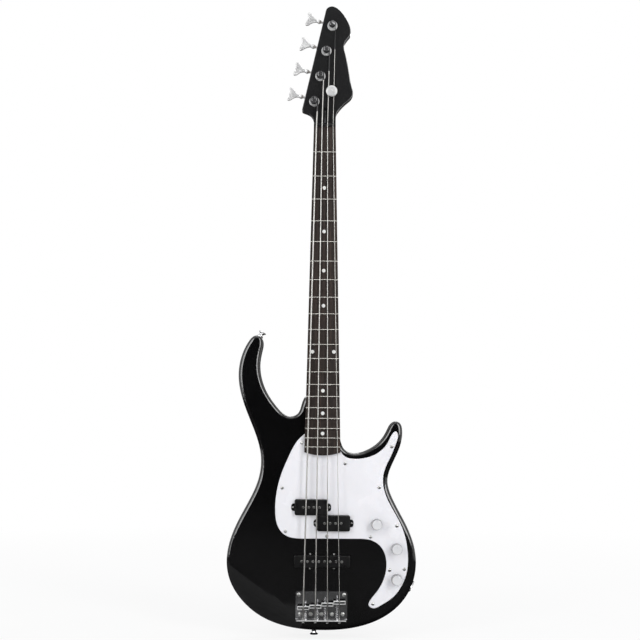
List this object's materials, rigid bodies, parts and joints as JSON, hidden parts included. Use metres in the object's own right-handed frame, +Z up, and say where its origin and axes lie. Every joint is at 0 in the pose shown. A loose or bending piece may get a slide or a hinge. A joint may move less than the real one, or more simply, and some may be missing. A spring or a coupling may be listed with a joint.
{
  "type": "electric bass guitar",
  "caption": "Black electric bass guitar with a bolted neck, white pickguard, split neck pickup, bar bridge pickup and geared tuning machines.",
  "frame": {"origin": "Middle of the nut's front end on the plane where the fingerboard meets the neck", "axes": "+Z runs up the neck to the head, +X to the treble side, and the front faces -Y"},
  "size_m": [0.3402, 0.0647, 1.1617],
  "materials": {
    "black_lacquer": "polished black lacquer over solid wood",
    "white_plastic": "semi-gloss cool white",
    "maple": "satin amber, black on the head's face",
    "rosewood": "oiled dark brown with open grain",
    "fret_nickel": "polished",
    "dot_pearl": "pearly white",
    "black_plastic": "satin black",
    "coil_wrap": "dark waxed wrap",
    "pole_steel": "bright steel",
    "plain_steel": "plain zinc plated",
    "chrome": "mirror plated",
    "satin_chrome": "satin plated",
    "knob_plastic": "semi-gloss white",
    "string_wrap": "round-wound nickel",
    "spring_steel": "plated spring wire",
    "capacitor_case": "dipped green",
    "lead_insulation": "black insulation"
  },
  "bodies": {
    "instrument": {"body": "black_lacquer", "bridge_plate": "chrome", "fretboard": "rosewood", "frets": "fret_nickel", "hardware_screws": "chrome", "inlay_dots": "dot_pearl", "intonation_spring_a": "spring_steel", "intonation_spring_d": "spring_steel", "intonation_spring_e": "spring_steel", "intonation_spring_g": "spring_steel", "jack_plate": "chrome", "neck": "maple", "neck_plate": "chrome", "neck_screws": "chrome", "nut": "black_plastic", "output_jack": "chrome", "pickguard": "white_plastic", "pickguard_screws": "chrome", "potentiometers": "plain_steel", "strap_buttons": "chrome", "string_a": "string_wrap", "string_d": "string_wrap", "string_e": "string_wrap", "string_g": "string_wrap", "string_tree": "satin_chrome", "tone_capacitor": "capacitor_case", "truss_rod": "plain_steel", "tuner_bushings": "chrome", "tuner_plates": "chrome", "tuner_screws": "chrome", "wiring": "lead_insulation"},
    "tuning_key_e": {"tuning_key_e": "satin_chrome"},
    "string_post_e": {"string_post_e": "chrome"},
    "intonation_screw_e": {"intonation_screw_e": "chrome"},
    "saddle_e": {"saddle_e": "chrome"},
    "tuning_key_a": {"tuning_key_a": "satin_chrome"},
    "string_post_a": {"string_post_a": "chrome"},
    "intonation_screw_a": {"intonation_screw_a": "chrome"},
    "saddle_a": {"saddle_a": "chrome"},
    "tuning_key_d": {"tuning_key_d": "satin_chrome"},
    "string_post_d": {"string_post_d": "chrome"},
    "intonation_screw_d": {"intonation_screw_d": "chrome"},
    "saddle_d": {"saddle_d": "chrome"},
    "tuning_key_g": {"tuning_key_g": "satin_chrome"},
    "string_post_g": {"string_post_g": "chrome"},
    "intonation_screw_g": {"intonation_screw_g": "chrome"},
    "saddle_g": {"saddle_g": "chrome"},
    "neck_volume_knob": {"neck_volume_knob": "knob_plastic"},
    "bridge_volume_knob": {"bridge_volume_knob": "knob_plastic"},
    "tone_knob": {"tone_knob": "knob_plastic"},
    "truss_rod_nut": {"truss_rod_nut": "plain_steel"},
    "neck_pickup_bass": {"neck_pickup_bass_cover": "black_plastic", "neck_pickup_bass_coil": "coil_wrap", "neck_pickup_bass_poles": "pole_steel"},
    "neck_pickup_treble": {"neck_pickup_treble_cover": "black_plastic", "neck_pickup_treble_coil": "coil_wrap", "neck_pickup_treble_poles": "pole_steel"},
    "bridge_pickup": {"bridge_pickup_cover": "black_plastic", "bridge_pickup_coil": "coil_wrap", "bridge_pickup_poles": "pole_steel"}
  },
  "joints": [
    {"name": "tune_e", "type": "hinge", "parent": "instrument", "child": "tuning_key_e", "pos_m": [-0.01779, 0.0225, 0.05956], "axis": [-0.9755, 0, 0.2202], "continuous": true, "deforming": ["string_e"]},
    {"name": "wind_e", "type": "hinge", "parent": "instrument", "child": "string_post_e", "pos_m": [-0.0199, 0.0225, 0.0502], "axis": [0, 1, 0], "continuous": true, "deforming": ["string_e"]},
    {"name": "turn_intonation_e", "type": "hinge", "parent": "instrument", "child": "intonation_screw_e", "pos_m": [-0.0282, -0.007, -0.901], "axis": [0, 0, 1], "range_deg": [-1110, 1110], "deforming": ["string_e", "intonation_spring_e"]},
    {"name": "shift_saddle_e", "type": "slide", "parent": "instrument", "child": "saddle_e", "axis": [0, 0, 1], "range_m": [-0.0021, 0.0021], "deforming": ["string_e", "intonation_spring_e"]},
    {"name": "tune_a", "type": "hinge", "parent": "instrument", "child": "tuning_key_a", "pos_m": [-0.00678, 0.0225, 0.10834], "axis": [-0.9755, 0, 0.2202], "continuous": true, "deforming": ["string_a"]},
    {"name": "wind_a", "type": "hinge", "parent": "instrument", "child": "string_post_a", "pos_m": [-0.00889, 0.0225, 0.09897], "axis": [0, 1, 0], "continuous": true, "deforming": ["string_a"]},
    {"name": "turn_intonation_a", "type": "hinge", "parent": "instrument", "child": "intonation_screw_a", "pos_m": [-0.0068, -0.007, -0.901], "axis": [0, 0, 1], "range_deg": [-1110, 1110], "deforming": ["string_a", "intonation_spring_a"]},
    {"name": "shift_saddle_a", "type": "slide", "parent": "instrument", "child": "saddle_a", "axis": [0, 0, 1], "range_m": [-0.0021, 0.0021], "deforming": ["string_a", "intonation_spring_a"]},
    {"name": "tune_d", "type": "hinge", "parent": "instrument", "child": "tuning_key_d", "pos_m": [0.00423, 0.0225, 0.15711], "axis": [-0.9755, 0, 0.2202], "continuous": true, "deforming": ["string_d"]},
    {"name": "wind_d", "type": "hinge", "parent": "instrument", "child": "string_post_d", "pos_m": [0.00212, 0.0225, 0.14775], "axis": [0, 1, 0], "continuous": true, "deforming": ["string_d"]},
    {"name": "turn_intonation_d", "type": "hinge", "parent": "instrument", "child": "intonation_screw_d", "pos_m": [0.0068, -0.007, -0.901], "axis": [0, 0, 1], "range_deg": [-1110, 1110], "deforming": ["string_d", "intonation_spring_d"]},
    {"name": "shift_saddle_d", "type": "slide", "parent": "instrument", "child": "saddle_d", "axis": [0, 0, 1], "range_m": [-0.0021, 0.0021], "deforming": ["string_d", "intonation_spring_d"]},
    {"name": "tune_g", "type": "hinge", "parent": "instrument", "child": "tuning_key_g", "pos_m": [0.01524, 0.0225, 0.20588], "axis": [-0.9755, 0, 0.2202], "continuous": true, "deforming": ["string_g"]},
    {"name": "wind_g", "type": "hinge", "parent": "instrument", "child": "string_post_g", "pos_m": [0.01313, 0.0225, 0.19652], "axis": [0, 1, 0], "continuous": true, "deforming": ["string_g"]},
    {"name": "turn_intonation_g", "type": "hinge", "parent": "instrument", "child": "intonation_screw_g", "pos_m": [0.0282, -0.007, -0.901], "axis": [0, 0, 1], "range_deg": [-1110, 1110], "deforming": ["string_g", "intonation_spring_g"]},
    {"name": "shift_saddle_g", "type": "slide", "parent": "instrument", "child": "saddle_g", "axis": [0, 0, 1], "range_m": [-0.0021, 0.0021], "deforming": ["string_g", "intonation_spring_g"]},
    {"name": "turn_neck_volume_knob", "type": "hinge", "parent": "instrument", "child": "neck_volume_knob", "pos_m": [0.0984, 0, -0.7286], "axis": [0, -1, 0], "range_deg": [-150, 150]},
    {"name": "turn_bridge_volume_knob", "type": "hinge", "parent": "instrument", "child": "bridge_volume_knob", "pos_m": [0.1342, 0, -0.7716], "axis": [0, -1, 0], "range_deg": [-150, 150]},
    {"name": "turn_tone_knob", "type": "hinge", "parent": "instrument", "child": "tone_knob", "pos_m": [0.1342, 0, -0.8256], "axis": [0, -1, 0], "range_deg": [-150, 150]},
    {"name": "turn_truss_rod_nut", "type": "hinge", "parent": "instrument", "child": "truss_rod_nut", "pos_m": [0, 0.0065, 0.005], "axis": [0, 0, 1], "range_deg": [-180, 180]},
    {"name": "raise_neck_pickup_bass", "type": "slide", "parent": "instrument", "child": "neck_pickup_bass", "axis": [0, -1, 0], "range_m": [0, 0.002]},
    {"name": "raise_neck_pickup_treble", "type": "slide", "parent": "instrument", "child": "neck_pickup_treble", "axis": [0, -1, 0], "range_m": [0, 0.002]},
    {"name": "raise_bridge_pickup", "type": "slide", "parent": "instrument", "child": "bridge_pickup", "axis": [0, -1, 0], "range_m": [0, 0.002]}
  ],
  "couplings": [
    {"joint": "wind_e", "follows": "tune_e", "ratio": 0.05},
    {"joint": "turn_intonation_e", "follows": "shift_saddle_e", "rad_per_m": -8976},
    {"joint": "wind_a", "follows": "tune_a", "ratio": 0.05},
    {"joint": "turn_intonation_a", "follows": "shift_saddle_a", "rad_per_m": -8976},
    {"joint": "wind_d", "follows": "tune_d", "ratio": 0.05},
    {"joint": "turn_intonation_d", "follows": "shift_saddle_d", "rad_per_m": -8976},
    {"joint": "wind_g", "follows": "tune_g", "ratio": 0.05},
    {"joint": "turn_intonation_g", "follows": "shift_saddle_g", "rad_per_m": -8976}
  ]
}
